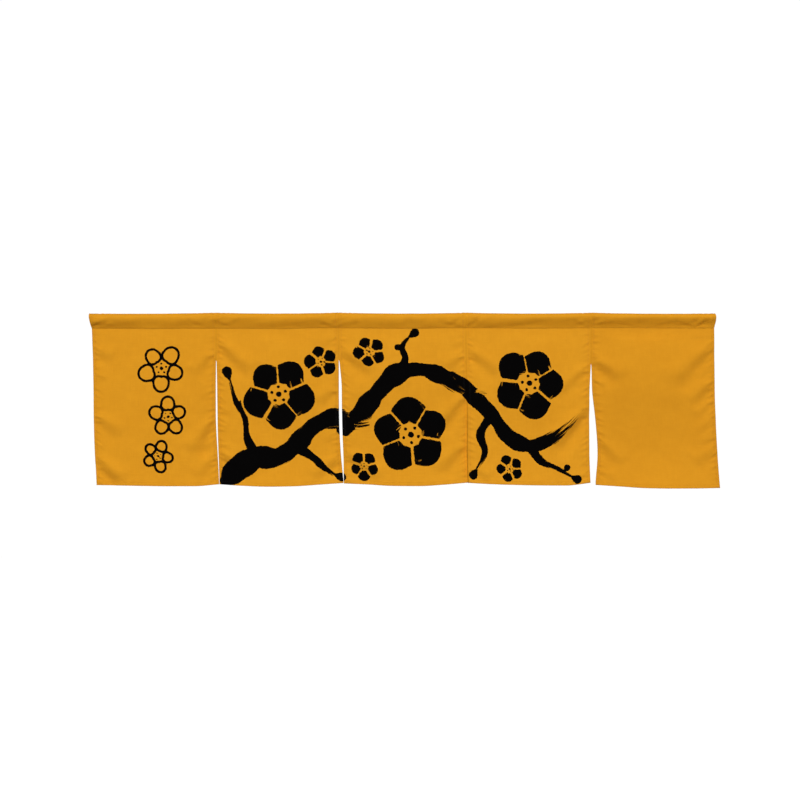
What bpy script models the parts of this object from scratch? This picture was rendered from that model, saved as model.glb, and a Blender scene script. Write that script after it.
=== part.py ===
"""Noren curtain: five hemmed cloth panels that hang side by side from one rod pocket.

Sizes are in millimetres, and become metres when a mesh is made. X runs along the curtain, to the right as
it is seen from the front. The front faces -Y, and +Z is up. The origin is on the top edge, at the middle
of its width. Depths are counted towards the front.
"""

import math
from collections import namedtuple

import bmesh
import bpy

MM = 0.001

# Cloth
CLOTH = 1.2  # thickness of the plain cloth
HEM = 2.0  # thickness where the cloth is turned over
SIDE_HEM = 10.0  # width of the hem down each side of a panel
FOOT_HEM = 9.0
HEM_STEP = 1.2  # width over which the thickness changes
CLOTH_ROUGHNESS = 0.92
FOLD_ANGLE = 40.0  # degrees from which an edge is drawn sharp
SEWN_GAP = 0.4  # between pieces that are sewn together

# Rod pocket
SEAM = -40.5  # height of the seam that closes the pocket
SEAM_WAVE = 0.9
SEAM_WAVE_LENGTH = 290.0
POCKET_RADIUS = 13.0  # outside, over the rod
POCKET_FOOT = 1.3  # half the pocket's thickness at its seam
SEAM_DEPTH = 3.2  # from the seam up to the rod space
SPACE_FOOT = 0.5  # half the rod space's width at its bottom
FLARE_RISE = 30.0  # the pocket's ends reach outwards over this height above the seam
ARC_STEPS = 14
RIM_MERGE = 0.01  # points of the two skins that meet at the pocket's rim are nearer than this
POCKET_STATIONS = (0.0, 0.07, 0.18, 0.34, 0.5, 0.66, 0.82, 0.93)  # shares of a panel's width

# Points of a panel's mesh: distances in from either side, and the number of rows down it
FROM_SIDE = (21.0, 32.0, 43.0, 54.0, 66.0, 80.0, 98.0, 119.0, 143.0)
PANEL_ROWS = 25

# Upright lines, left to right: the curtain's left side, the right side of each panel but the last, which is
# the left side of a slit, and the curtain's right side. Each row gives the height where its slit starts, how
# far the top edge is pulled up there, how far the pocket's end reaches past the line, and the line's x at the
# pocket seam, at the slit's top, at three places evenly down the slit, and at its foot.
Upright = namedtuple("Upright", "top lift flare seam start quarter half three_quarters foot")
UPRIGHTS = (
    Upright(-105.0, 0.8, 8.0, -852.0, -849.6, -847.5, -846.7, -843.7, -837.7),
    Upright(-126.6, 3.0, 0.0, -511.9, -512.6, -513.2, -512.8, -508.3, -503.7),
    Upright(-126.6, 3.4, 0.0, -177.8, -176.7, -176.6, -175.7, -171.8, -164.1),
    Upright(-148.5, 3.2, 0.0, 170.4, 172.1, 174.8, 175.4, 175.4, 177.6),
    Upright(-137.6, 3.0, 0.0, 513.3, 512.4, 508.9, 508.6, 508.9, 511.3),
    Upright(-105.0, 1.0, 5.0, 849.8, 850.3, 851.1, 853.9, 858.8, 865.0),
)

# How wide each slit stands open, at the same places as the upright line on its left. Below zero, the panel on
# the right hangs a little in front of its neighbour.
Slit = namedtuple("Slit", "quarter half three_quarters foot")
SLITS = (
    Slit(3.6, 4.5, 2.4, 1.0),
    Slit(7.9, 8.0, 7.2, 1.2),
    Slit(0.5, -0.8, -1.2, -1.2),
    Slit(7.9, 17.5, 22.7, 14.5),
)

# A panel's hem line, and how far the cloth there stands towards the front, at its corners and at fifths
# of its width between them
Across = namedtuple("Across", "left fifth two_fifths three_fifths four_fifths right")
FEET = (
    Across(-468.0, -469.0, -470.0, -471.0, -471.0, -466.0),
    Across(-466.0, -470.0, -472.0, -471.0, -467.0, -462.5),
    Across(-463.5, -466.5, -470.0, -470.5, -467.0, -461.5),
    Across(-462.0, -465.5, -467.5, -468.5, -469.0, -462.0),
    Across(-468.0, -472.0, -476.0, -477.0, -477.0, -476.0),
)
HANGS = (
    Across(2.0, 8.0, 11.0, 7.0, 2.0, -3.0),
    Across(-2.0, 6.0, 11.0, 9.0, 2.0, -5.0),
    Across(-1.0, 5.0, 9.0, 9.0, 2.0, -5.0),
    Across(5.0, 6.0, 9.0, 12.0, 6.0, -4.0),
    Across(-10.0, 2.0, 11.0, 13.0, 8.0, 1.0),
)
SWAYS = (6.0, 4.0, 4.0, 4.5, 8.0)  # each panel's belly, towards the front high up and back again lower down

# Creases that pull away from a hem: the panel they are on, counted from 1, the side they start from, the
# height where they start, how far in and down they run, their half width, and how far the cloth steps back
# across them
Crease = namedtuple("Crease", "panel side start inward drop width step")
CREASES = (
    Crease(1, "left", -107.0, 42.0, 16.0, 13.0, 1.6),
    Crease(1, "left", -285.0, 58.0, 50.0, 15.0, 2.4),
    Crease(1, "left", -404.0, 54.0, 54.0, 15.0, 3.4),
    Crease(1, "right", -113.0, 46.0, 52.0, 14.0, 2.6),
    Crease(1, "right", -296.0, 50.0, 80.0, 14.0, 2.4),
    Crease(1, "right", -396.0, 40.0, 50.0, 13.0, 2.2),
    Crease(2, "left", -86.0, 74.0, 72.0, 15.0, 3.2),
    Crease(2, "left", -388.0, 76.0, 60.0, 15.0, 3.0),
    Crease(2, "right", -212.0, 46.0, 32.0, 13.0, 2.0),
    Crease(2, "right", -402.0, 66.0, 46.0, 14.0, 2.8),
    Crease(3, "left", -108.0, 70.0, 50.0, 15.0, 3.0),
    Crease(3, "left", -388.0, 84.0, 62.0, 16.0, 3.4),
    Crease(3, "right", -118.0, 44.0, 32.0, 13.0, 2.2),
    Crease(3, "right", -233.0, 66.0, 84.0, 14.0, 2.6),
    Crease(3, "right", -366.0, 66.0, 66.0, 15.0, 3.0),
    Crease(4, "left", -108.0, 76.0, 58.0, 15.0, 3.2),
    Crease(4, "left", -428.0, 52.0, 22.0, 13.0, 2.2),
    Crease(4, "right", -151.0, 74.0, 70.0, 14.0, 2.6),
    Crease(4, "right", -268.0, 84.0, 98.0, 16.0, 4.0),
    Crease(5, "left", -132.0, 62.0, 48.0, 15.0, 3.6),
    Crease(5, "left", -359.0, 48.0, 52.0, 14.0, 2.4),
    Crease(5, "right", -97.0, 98.0, 94.0, 18.0, 3.4),
    Crease(5, "right", -195.0, 56.0, 50.0, 14.0, 2.4),
    Crease(5, "right", -378.0, 52.0, 34.0, 14.0, 2.4),
)
CREASE_FADE = 0.35  # share of a crease's length over which each end fades
SEAM_HOLD = 12.0  # the pocket's seam holds the cloth flat over one part in this many of its height


def through(at, places, values):
    """Smooth curve through values at rising places, with no overshoot between them."""
    spans = [b - a for a, b in zip(places, places[1:])]
    slopes = [(b - a) / s for a, b, s in zip(values, values[1:], spans)]
    tangents = [slopes[0]]
    for before, after in zip(slopes, slopes[1:]):
        tangents.append(2 * before * after / (before + after) if before * after > 0 else 0.0)
    tangents.append(slopes[-1])
    i = max(0, min(len(spans) - 1, sum(at >= p for p in places) - 1))
    t = max(0.0, min(1.0, (at - places[i]) / spans[i]))
    rise = t * t * (3 - 2 * t)
    return (
        values[i] * (1 - rise)
        + values[i + 1] * rise
        + spans[i] * t * (1 - t) * (tangents[i] * (1 - t) - tangents[i + 1] * t)
    )


def eased(t):
    t = max(0.0, min(1.0, t))
    return t * t * (3 - 2 * t)


def fifths(row, share):
    """Value of one row across a panel, at a share of its width."""
    return through(share, [i / 5 for i in range(6)], row)


def foot_height(line):
    """Height of the hem where an upright line meets it."""
    ends = [FEET[i][j] for i, j in ((line, 0), (line - 1, 5)) if 0 <= i < len(FEET)]
    return sum(ends) / len(ends)


def slit_heights(line):
    """Heights of a slit's top, of three places evenly down it, and of its foot."""
    top = UPRIGHTS[line].top
    return [top + (foot_height(line) - top) * i / 4 for i in range(5)]


def upright_x(line, z):
    row = UPRIGHTS[line]
    drops = [-height for height in (SEAM, *slit_heights(line))]
    return through(-z, drops, (row.seam, row.start, row.quarter, row.half, row.three_quarters, row.foot))


def slit_width(line, z):
    """Gap between two panels beside an inner upright line."""
    drops = [-height for height in slit_heights(line)]
    return through(-z, drops, (SEWN_GAP, *SLITS[line - 1]))


def panel_sides(panel, z):
    """x of a panel's left and right side at a height."""
    left = upright_x(panel, z)
    if panel > 0:
        left += slit_width(panel, z)
    return left, upright_x(panel + 1, z)


def seam_height(x):
    return SEAM + SEAM_WAVE * math.sin(2 * math.pi * x / SEAM_WAVE_LENGTH)


def top_height(panel, share):
    """Height of the curtain's top edge, which is pulled up where panels are joined."""
    left, right = UPRIGHTS[panel].lift, UPRIGHTS[panel + 1].lift
    return left * (1 - share) ** 3 + right * share**3


def crease_depth(crease, x, z, sides):
    """Depth of one crease: cloth swells above a line that runs in and down from a hem, and sinks below it."""
    inwards = 1 if crease.side == "left" else -1
    hem_line = sides[0] + SIDE_HEM if crease.side == "left" else sides[1] - SIDE_HEM
    length = math.hypot(crease.inward, crease.drop)
    along_x, along_z = crease.inward / length, -crease.drop / length
    away_x, away_z = (x - hem_line) * inwards, z - crease.start
    along = (away_x * along_x + away_z * along_z) / length
    above = (away_z * along_x - away_x * along_z) / crease.width
    ends = eased(along / CREASE_FADE + 0.5) * eased((1 - along) / CREASE_FADE + 0.5)
    return crease.step / 2 * ends * above * math.exp(0.5 - above * above / 2)


def cloth_depth(panel, x, z, share, down):
    """How far a panel's cloth stands towards the front: its hang, its belly and its creases."""
    sides = panel_sides(panel, z)
    depth = fifths(HANGS[panel], share) * eased(down)
    depth += SWAYS[panel] * math.sin(math.pi * share) * math.sin(2 * math.pi * down)
    for crease in CREASES:
        if crease.panel == panel + 1:
            depth += crease_depth(crease, x, z, sides)
    return depth * eased(down * SEAM_HOLD)


def cloth_material(name, colour):
    material = bpy.data.materials.new(name)
    material.use_nodes = True
    shader = material.node_tree.nodes["Principled BSDF"]
    shader.inputs["Base Color"].default_value = (*colour, 1.0)
    shader.inputs["Roughness"].default_value = CLOTH_ROUGHNESS
    shader.inputs["Metallic"].default_value = 0.0
    material.diffuse_color = (*colour, 1.0)
    return material


def grid_points(bm, columns, rows, place):
    """Grid of faces whose point (column, row) goes to place(column, row), in millimetres."""
    made = bmesh.ops.create_grid(bm, x_segments=columns, y_segments=rows, size=0.5)["verts"]
    for point in made:
        column = round((point.co.x + 0.5) * columns)
        row = round((0.5 - point.co.y) * rows)
        point.co = [MM * value for value in place(column, row)]


def cloth_object(name, bm, material, collection):
    mesh = bpy.data.meshes.new(name)
    bm.to_mesh(mesh)
    bm.free()
    mesh.shade_smooth()
    mesh.set_sharp_from_angle(angle=math.radians(FOLD_ANGLE))
    mesh.materials.append(material)
    piece = bpy.data.objects.new(name, mesh)
    collection.objects.link(piece)
    return piece


def panel_columns():
    """Distances of the columns from the left side, then from the right side as negative numbers."""
    hem = (0.0, SIDE_HEM - HEM_STEP / 2, SIDE_HEM + HEM_STEP / 2)
    left = [*hem, *FROM_SIDE]
    return left + [None] + [-distance for distance in reversed(left)]


def panel_rows(height):
    """Shares of a panel's height, from the seam to the foot, with two rows at the top of the foot hem."""
    hem = [(height - FOOT_HEM + side * HEM_STEP / 2) / height for side in (-1, 1)]
    plain = [hem[0] * i / PANEL_ROWS for i in range(PANEL_ROWS + 1)]
    return [*plain, hem[1], 1.0]


def make_panel(panel, material, collection):
    """One panel: its front face as a grid, thickened backwards, with thicker hems."""
    name = f"panel_{panel + 1}"
    columns = panel_columns()
    rows = panel_rows(SEAM - FEET[panel].fifth)
    last = len(columns) - 1

    def place(column, row):
        down = rows[row]
        level = SEAM + down * (FEET[panel].fifth - SEAM)
        left, right = panel_sides(panel, level)
        distance = columns[column]
        if distance is None:
            x = (left + right) / 2
        elif column < last / 2:
            x = left + distance
        else:
            x = right + distance
        share = (x - left) / (right - left)
        top = seam_height(x) - SEWN_GAP
        z = top + down * (fifths(FEET[panel], share) - top)
        depth = CLOTH / 2 + cloth_depth(panel, x, z, share, down)
        return x, -depth, z

    bm = bmesh.new()
    grid_points(bm, last, len(rows) - 1, place)
    piece = cloth_object(name, bm, material, collection)

    hem = piece.vertex_groups.new(name="thickness")
    for point in piece.data.vertices:
        x, z = point.co.x / MM, point.co.z / MM
        left, right = panel_sides(panel, z)
        from_foot = z - fifths(FEET[panel], (x - left) / (right - left))
        hemmed = min(x - left, right - x) < SIDE_HEM or from_foot < FOOT_HEM
        hem.add([point.index], 1.0 if hemmed else CLOTH / HEM, "REPLACE")
    thicken = piece.modifiers.new("cloth", "SOLIDIFY")
    thicken.thickness = HEM * MM
    thicken.offset = -1.0
    thicken.vertex_group = hem.name
    return piece


def teardrop(top, seam, radius, foot):
    """Outline of the pocket's section as (depth, z): up the front, round over the rod, and down the back."""
    centre = top - radius
    reach = math.hypot(foot, centre - seam)
    touch = math.atan2(seam - centre, foot) + math.acos(radius / reach)
    arc = [touch + (math.pi - 2 * touch) * i / ARC_STEPS for i in range(ARC_STEPS + 1)]
    over = [(radius * math.cos(a), centre + radius * math.sin(a)) for a in arc]
    return [(foot, seam), *over, (-foot, seam)]


def make_pocket(material, collection):
    """Rod pocket: rings along the outer skin and back along the inner one, closed both ways like a torus."""
    panels = len(FEET)
    stations = [(panel, share) for panel in range(panels) for share in POCKET_STATIONS]
    stations.append((panels - 1, 1.0))
    points = len(teardrop(0.0, SEAM, POCKET_RADIUS, POCKET_FOOT))

    def section(station, inside):
        panel, share = stations[station]
        left, right = upright_x(panel, SEAM), upright_x(panel + 1, SEAM)
        x = left + share * (right - left)
        top, seam = top_height(panel, share), seam_height(x)
        if inside:
            outline = teardrop(top - CLOTH, seam + SEAM_DEPTH, POCKET_RADIUS - CLOTH, SPACE_FOOT)
        else:
            outline = teardrop(top, seam, POCKET_RADIUS, POCKET_FOOT)
        end = {0: -UPRIGHTS[0].flare, len(stations) - 1: UPRIGHTS[-1].flare}.get(station, 0.0)
        return [(x + end * eased((z - SEAM) / FLARE_RISE), -depth, z) for depth, z in outline]

    outer = [section(i, False) for i in range(len(stations))]
    inner = [section(i, True) for i in reversed(range(len(stations)))]
    rings = outer + inner
    bm = bmesh.new()
    grid_points(bm, len(rings), points, lambda column, row: rings[column % len(rings)][row % points])
    bmesh.ops.remove_doubles(bm, verts=bm.verts, dist=RIM_MERGE * MM)
    bmesh.ops.recalc_face_normals(bm, faces=bm.faces)
    return cloth_object("rod_pocket", bm, material, collection)


def main():
    for old in list(bpy.data.objects):
        bpy.data.objects.remove(old)
    curtain = bpy.data.collections.new("noren_curtain")
    bpy.context.scene.collection.children.link(curtain)
    ochre = cloth_material("ochre_cloth", (0.73, 0.314, 0.019))
    pocket_ochre = cloth_material("ochre_pocket_cloth", (0.70, 0.30, 0.022))
    make_pocket(pocket_ochre, curtain)
    for panel in range(len(FEET)):
        make_panel(panel, ochre, curtain)


main()
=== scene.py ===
# Noren curtain: the looks of five hemmed cloth panels that hang from one rod pocket.
# Lengths in the tables are in millimetres and become metres when a mesh is made. Depth counts towards the
# front, which faces -Y.
import math
from types import SimpleNamespace

import bpy
import numpy as np
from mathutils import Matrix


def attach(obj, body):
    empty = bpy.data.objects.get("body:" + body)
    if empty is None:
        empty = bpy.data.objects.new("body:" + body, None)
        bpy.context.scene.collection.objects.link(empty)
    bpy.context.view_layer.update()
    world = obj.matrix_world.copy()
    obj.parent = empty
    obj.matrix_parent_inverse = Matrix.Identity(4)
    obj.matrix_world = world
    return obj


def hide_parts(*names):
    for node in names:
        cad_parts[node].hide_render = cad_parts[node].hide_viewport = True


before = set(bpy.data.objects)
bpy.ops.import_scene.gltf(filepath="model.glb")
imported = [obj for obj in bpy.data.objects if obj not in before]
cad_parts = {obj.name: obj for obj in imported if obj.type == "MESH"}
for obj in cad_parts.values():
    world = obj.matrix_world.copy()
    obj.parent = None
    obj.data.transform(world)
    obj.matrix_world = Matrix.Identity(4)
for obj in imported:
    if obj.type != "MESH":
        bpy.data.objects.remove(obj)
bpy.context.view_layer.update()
mm = 0.001
print("frame loaded with", len(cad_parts), "nodes")


def table(columns, *rows):
    # Rows of numbers as records with named columns
    return [SimpleNamespace(**dict(zip(columns.split(), row))) for row in rows]


def eased(t):
    # Smooth step from 0 to 1: 3 t squared less 2 t cubed
    t = np.clip(t, 0.0, 1.0)
    return t * t * (3 - 2 * t)


def smoothThrough(at, places, values):
    # Cubic through values at rising places; each tangent is the harmonic mean of the slopes on its two sides
    places, values = np.array(places, float), np.array(values, float)
    spans = np.diff(places)
    slopes = np.diff(values) / spans
    before, after = slopes[:-1], slopes[1:]
    same = before * after > 0
    inner = np.where(same, 2 * before * after / np.where(same, before + after, 1.0), 0.0)
    tangents = np.concatenate([slopes[:1], inner, slopes[-1:]])
    i = np.clip(np.searchsorted(places, at, side="right") - 1, 0, len(spans) - 1)
    t = np.clip((at - places[i]) / spans[i], 0.0, 1.0)
    rise = t * t * (3 - 2 * t)
    bow = spans[i] * t * (1 - t) * (tangents[i] * (1 - t) - tangents[i + 1] * t)
    return values[i] * (1 - rise) + values[i + 1] * rise + bow


def ripple(x, y, length, seed, waves=8):
    # Sum of plane waves of about one length that run in seeded directions, mostly between -1 and 1
    chance = np.random.default_rng(seed)
    total = np.zeros(np.broadcast(x, y).shape)
    for turn, phase, size in zip(*chance.random((3, waves))):
        angle, pitch = math.tau * turn, length * (0.7 + 0.7 * size)
        total += np.sin(math.tau * (x * math.cos(angle) + y * math.sin(angle) + phase * pitch) / pitch)
    return total / math.sqrt(2 * waves)


# How the curtain hangs
hang = {
    "seam": -40.5,  # about the height of the pocket's seam, where the panels' side lines start
    "seamGap": 0.4,  # how far below the pocket's edge a panel's own height starts
    "seamHold": 12.0,  # the seam holds the cloth flat over one part in this many of its height
    "joinGap": -0.2,  # two panels' folded edges press together where they are sewn
    "joinHold": 9.0,  # how far in from a join its sewing holds creases and puckers down
    "joinFade": 10.0,  # height over which that hold ends, at the top of a slit
    "slitOpening": 5.0,  # height over which a slit opens, below its top
    "footCurl": 6.0,  # how far the last of a panel's height turns up towards the front
    "footCurlPower": 13,
    "creaseFade": 0.35,  # share of a crease's length over which it fades in and out
}
# The panels' side lines from left to right: height of the slit's top, how far the pocket's top edge is pulled
# up there, how far its end leans out, and the line's place at the seam, the slit's top, three even places and
# the foot
uprights = table(
    "top lift flare seam start quarter half threeQuarters foot",
    (-105.0, 0.8, 6.6, -852.0, -849.6, -847.5, -846.7, -843.7, -837.7),
    (-126.6, 3.0, 0.0, -511.9, -512.6, -513.2, -512.8, -508.3, -503.7),
    (-126.6, 3.4, 0.0, -177.8, -176.7, -176.6, -175.7, -171.8, -164.1),
    (-148.5, 3.2, 0.0, 170.4, 172.1, 174.8, 175.4, 175.4, 177.6),
    (-137.6, 3.0, 0.0, 513.3, 512.4, 508.9, 508.6, 508.9, 511.3),
    (-105.0, 1.0, 3.6, 849.8, 850.3, 851.1, 853.9, 858.8, 865.0),
)
# Width of each slit at its top, three even places and the foot
slits = table(
    "start quarter half threeQuarters foot",
    (1.6, 3.8, 4.5, 2.4, 1.0),
    (1.4, 7.9, 8.0, 7.2, 1.2),
    (-0.4, -0.6, -0.9, -1.2, -1.2),
    (1.2, 7.9, 17.5, 22.7, 14.5),
)
# The rod pocket along its length: the height of its seam, how far its section reaches to the front and back,
# and how slowly that section opens above the seam
pocketLine = table(
    "x seam reach taper",
    (-852, -39.8, 13.2, 1.6),
    (-786, -39.9, 13.2, 1.6),
    (-679, -41.0, 10.6, 1.9),
    (-560, -40.2, 11.8, 1.7),
    (-452, -40.4, 12.2, 1.9),
    (-331, -41.2, 12.2, 2.0),
    (-234, -38.9, 12.6, 1.6),
    (-120, -39.3, 10.8, 1.6),
    (0, -40.4, 11.2, 1.8),
    (112, -39.2, 10.8, 1.6),
    (227, -38.9, 12.4, 1.7),
    (341, -39.8, 12.6, 2.2),
    (449, -39.3, 13.4, 2.3),
    (567, -38.4, 13.8, 2.2),
    (682, -38.9, 14.0, 2.5),
    (794, -39.3, 13.6, 2.6),
    (850, -39.2, 13.0, 2.5),
)
# Height of each panel's foot at its corners and at fifths of its width
feet = (
    (-468.0, -469.0, -470.0, -471.0, -471.0, -466.0),
    (-466.0, -470.0, -472.0, -471.0, -467.0, -462.5),
    (-463.5, -466.5, -470.0, -470.5, -467.0, -461.5),
    (-462.0, -465.5, -467.5, -468.5, -469.0, -462.0),
    (-468.0, -472.0, -476.0, -477.0, -477.0, -476.0),
)
# Depth of the cloth at the same places
hangs = (
    (2.0, 8.0, 11.0, 7.0, 2.0, -3.0),
    (-2.0, 6.0, 11.0, 9.0, 2.0, -5.0),
    (-1.0, 5.0, 9.0, 9.0, 2.0, -5.0),
    (5.0, 6.0, 9.0, 12.0, 6.0, -4.0),
    (-10.0, 2.0, 11.0, 13.0, 8.0, 1.0),
)
sways = (1.0, 4.0, 4.0, 4.5, 9.0)  # each panel's belly, towards the front high up and back again lower down
dyes = (0.05, 0.0, 0.0, 0.0, 0.2)  # how much of the deeper colour each panel has
panelCount = len(feet)
leftSide, rightSide = 1, -1
# Main creases, in the places where the solids have theirs: where each leaves its side, how far it runs in and
# drops, its width and its step
creases = table(
    "panel side start inward drop width step",
    (0, leftSide, -107.0, 42.0, 16.0, 13.0, 1.6),
    (0, leftSide, -285.0, 58.0, 50.0, 15.0, 2.4),
    (0, leftSide, -404.0, 54.0, 54.0, 15.0, 3.4),
    (0, rightSide, -113.0, 46.0, 52.0, 14.0, 2.6),
    (0, rightSide, -296.0, 50.0, 80.0, 15.0, 4.2),
    (0, rightSide, -396.0, 40.0, 50.0, 13.0, 2.2),
    (1, leftSide, -86.0, 74.0, 72.0, 15.0, 3.2),
    (1, leftSide, -388.0, 76.0, 60.0, 15.0, 3.0),
    (1, rightSide, -212.0, 46.0, 32.0, 13.0, 2.0),
    (1, rightSide, -402.0, 66.0, 46.0, 14.0, 2.8),
    (2, leftSide, -108.0, 70.0, 50.0, 15.0, 3.0),
    (2, leftSide, -388.0, 84.0, 62.0, 16.0, 3.4),
    (2, rightSide, -118.0, 44.0, 32.0, 13.0, 2.2),
    (2, rightSide, -233.0, 66.0, 84.0, 14.0, 3.2),
    (2, rightSide, -366.0, 66.0, 66.0, 15.0, 3.0),
    (3, leftSide, -108.0, 76.0, 58.0, 15.0, 3.2),
    (3, leftSide, -428.0, 52.0, 22.0, 13.0, 2.2),
    (3, rightSide, -151.0, 74.0, 70.0, 14.0, 2.6),
    (3, rightSide, -268.0, 84.0, 98.0, 16.0, 5.0),
    (4, leftSide, -132.0, 62.0, 48.0, 15.0, 3.2),
    (4, leftSide, -359.0, 48.0, 52.0, 14.0, 2.4),
    (4, rightSide, -97.0, 98.0, 94.0, 18.0, 3.4),
    (4, rightSide, -195.0, 56.0, 50.0, 14.0, 2.4),
    (4, rightSide, -378.0, 52.0, 34.0, 14.0, 1.9),
)
# Smaller creases that only the looks have
fineCreases = table(
    "panel side start inward drop width step",
    (0, leftSide, -173.0, 28.0, 8.0, 7.0, 0.9),
    (0, leftSide, -428.0, 48.0, 28.0, 12.0, 1.5),
    (0, rightSide, -212.0, 30.0, 22.0, 8.0, 0.9),
    (0, rightSide, -352.0, 34.0, 26.0, 9.0, 1.0),
    (1, leftSide, -269.0, 26.0, 4.0, 7.0, 0.9),
    (1, leftSide, -357.0, 30.0, 20.0, 7.0, 1.0),
    (1, leftSide, -430.0, 26.0, 22.0, 7.0, 1.1),
    (1, rightSide, -62.0, 34.0, 28.0, 10.0, 1.2),
    (1, rightSide, -261.0, 34.0, 30.0, 8.0, 1.2),
    (1, rightSide, -330.0, 30.0, 22.0, 8.0, 0.9),
    (2, leftSide, -212.0, 28.0, 16.0, 8.0, 0.8),
    (2, rightSide, -182.0, 34.0, 30.0, 9.0, 1.0),
    (2, rightSide, -83.0, 24.0, 9.0, 7.0, 0.9),
    (3, rightSide, -187.0, 28.0, 16.0, 7.0, 1.0),
    (3, rightSide, -444.0, 44.0, 12.0, 8.0, 1.1),
    (4, leftSide, -187.0, 26.0, 10.0, 7.0, 1.0),
    (4, leftSide, -438.0, 40.0, 13.0, 8.0, 1.2),
    (4, rightSide, -148.0, 36.0, 30.0, 9.0, 1.0),
    (4, rightSide, -244.0, 40.0, 36.0, 9.0, 1.4),
    (4, rightSide, -292.0, 38.0, 32.0, 9.0, 1.2),
    (4, rightSide, -334.0, 32.0, 26.0, 8.0, 1.0),
    (4, rightSide, -60.0, 60.0, 6.0, 7.0, 0.8),
)


def footHeight(line):
    # Mean height of the corners that meet at a side line
    ends = [feet[i][j] for i, j in ((line, 0), (line - 1, -1)) if 0 <= i < panelCount]
    return sum(ends) / len(ends)


def slitDrops(line):
    # How far down a slit's top, three even places and foot are
    top = uprights[line].top
    return [-(top + (footHeight(line) - top) * i / 4) for i in range(5)]


def uprightX(line, z):
    # Smooth curve through a side line's places, from the seam to the foot
    row = uprights[line]
    values = (row.seam, row.start, row.quarter, row.half, row.threeQuarters, row.foot)
    return smoothThrough(-z, [-hang["seam"], *slitDrops(line)], values)


def slitGap(line, z):
    # Smooth curve through a slit's widths, eased in below its top from the gap of the sewn join above it
    row = slits[line - 1]
    drops = slitDrops(line)
    width = smoothThrough(-z, drops, (row.start, row.quarter, row.half, row.threeQuarters, row.foot))
    opened = eased((-z - drops[0]) / hang["slitOpening"])
    return hang["joinGap"] + (width - hang["joinGap"]) * opened


def panelSides(panel, z):
    # A panel runs from its left line, past the gap there, to its right line
    left = uprightX(panel, z)
    if panel > 0:
        left = left + slitGap(panel, z)
    return left, uprightX(panel + 1, z)


def alongPocket(key, x):
    # Smooth curve through one column of the pocket's table
    return smoothThrough(x, [row.x for row in pocketLine], [getattr(row, key) for row in pocketLine])


def seamHeight(x):
    return alongPocket("seam", x)


def acrossPanel(row, share):
    # Smooth curve through six values, at a panel's corners and at fifths of its width
    return smoothThrough(share, np.arange(6) / 5, row)


# Panels, hems and stitches. Face 1 is the front, face -1 the back.
panelCloth = {
    "thickness": 0.8,
    "tuck": 2.6,  # how far a panel's top reaches up between the pocket's two layers
    "cell": 2.7,  # size of the mesh's cells away from the hems
    "sideHem": 10.0,
    "footHem": 10.2,
    "hemRise": {1: 0.24, -1: 0.6},  # how far a hem stands out of the plain cloth
    "hemSoftness": {1: 1.4, -1: 0.4},  # width of the step at its inner edge
    "hemStart": 5.0,  # height below the seam over which the side hems begin, and their stitches
    "stitchStart": 4.0,
    "cornerShare": 0.45,  # how much less the foot hem adds where it crosses a side hem
    "edgeRound": 0.75,
    "edgeShade": (0.19, 3.2),  # how much darker a folded edge is, and how far in the shade fades
    "contactShade": (0.42, 2.3),  # and the same between two edges that overlap
    "contactPower": 3,
    "closedGap": (0.3, 1.2),  # a slit counts as closing from this gap, and as closed when it is so much less
    "sewnShade": 1.5,  # how much of its own shade an edge loses where it is closed
    "sideStitches": (6.8, 9.0),  # distances of the stitch lines from a panel's side
    "footStitches": (9.0,),
    # Also how much darker the foot's stitch line is painted, partly as painted shade of its groove
    "footStitchDepth": 1.8,  # the foot's stitches pull deeper than the sides'
    "grooveDepth": 0.25,
    "grooveWidth": 0.7,
    "creaseGain": 2.35,  # how much deeper than in their tables the main and the fine creases are
    "fineGain": 1.7,
    "creaseStart": 0.75,  # a crease's width where it leaves the hem, and at its end, as shares of the table's
    "creaseEnd": 1.35,
    "puckerCount": 30,  # down each side hem
    "puckerDepth": 1.5,
    "puckerStrength": (0.3, 1.0),
    "puckerWidth": 4.5,
    "puckerReach": 24.0,  # how far a pucker runs into the panel
    "puckerOnHem": 7.5,  # and out over the hem
    "puckerPitch": (12.0, 24.0),
    "puckerSlant": (-0.1, 0.7),
    "puckerHollow": (0.55, 1.7),  # depth and place of the hollow below a pucker, for one of depth and width 1
    "rippleDepth": 0.65,
    "rippleLength": 90.0,
    "seed": 21,
}
# Distances from a panel's side or foot, and from its top, at which the mesh has lines, close together where
# the hem's form needs it
hemLines = (
    0.0, 0.1, 0.35, 0.75, 1.5, 2.6, 3.8, 5.0, 6.1, 6.8, 7.4, 8.3, 9.0, 9.5, 9.9, 10.2, 10.8, 12.0, 13.8,
)
topLines = (0.0, 0.1, 0.35, 0.75, panelCloth["tuck"])
panelHeight = [hang["seam"] - row[1] for row in feet]


def creaseDepth(crease, x, z, sides):
    # The cloth swells above a line that runs in and down from a hem, and sinks below it: height above the
    # line times a bell of that height, faded in and out along the line
    v = panelCloth
    edge = sides[0] if crease.side == leftSide else sides[1]
    length = math.hypot(crease.inward, crease.drop)
    alongX, alongZ = crease.inward / length, -crease.drop / length
    awayX = (x - edge) * crease.side - v["sideHem"]
    awayZ = z - crease.start
    along = (awayX * alongX + awayZ * alongZ) / length
    widening = v["creaseStart"] + (v["creaseEnd"] - v["creaseStart"]) * np.clip(along, 0, 1)
    above = (awayZ * alongX - awayX * alongZ) / (crease.width * widening)
    fade = hang["creaseFade"]
    ends = eased(along / fade + 0.5) * eased((1 - along) / fade + 0.5)
    return crease.step / 2 * ends * above * np.exp(0.5 - above * above / 2)


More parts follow.
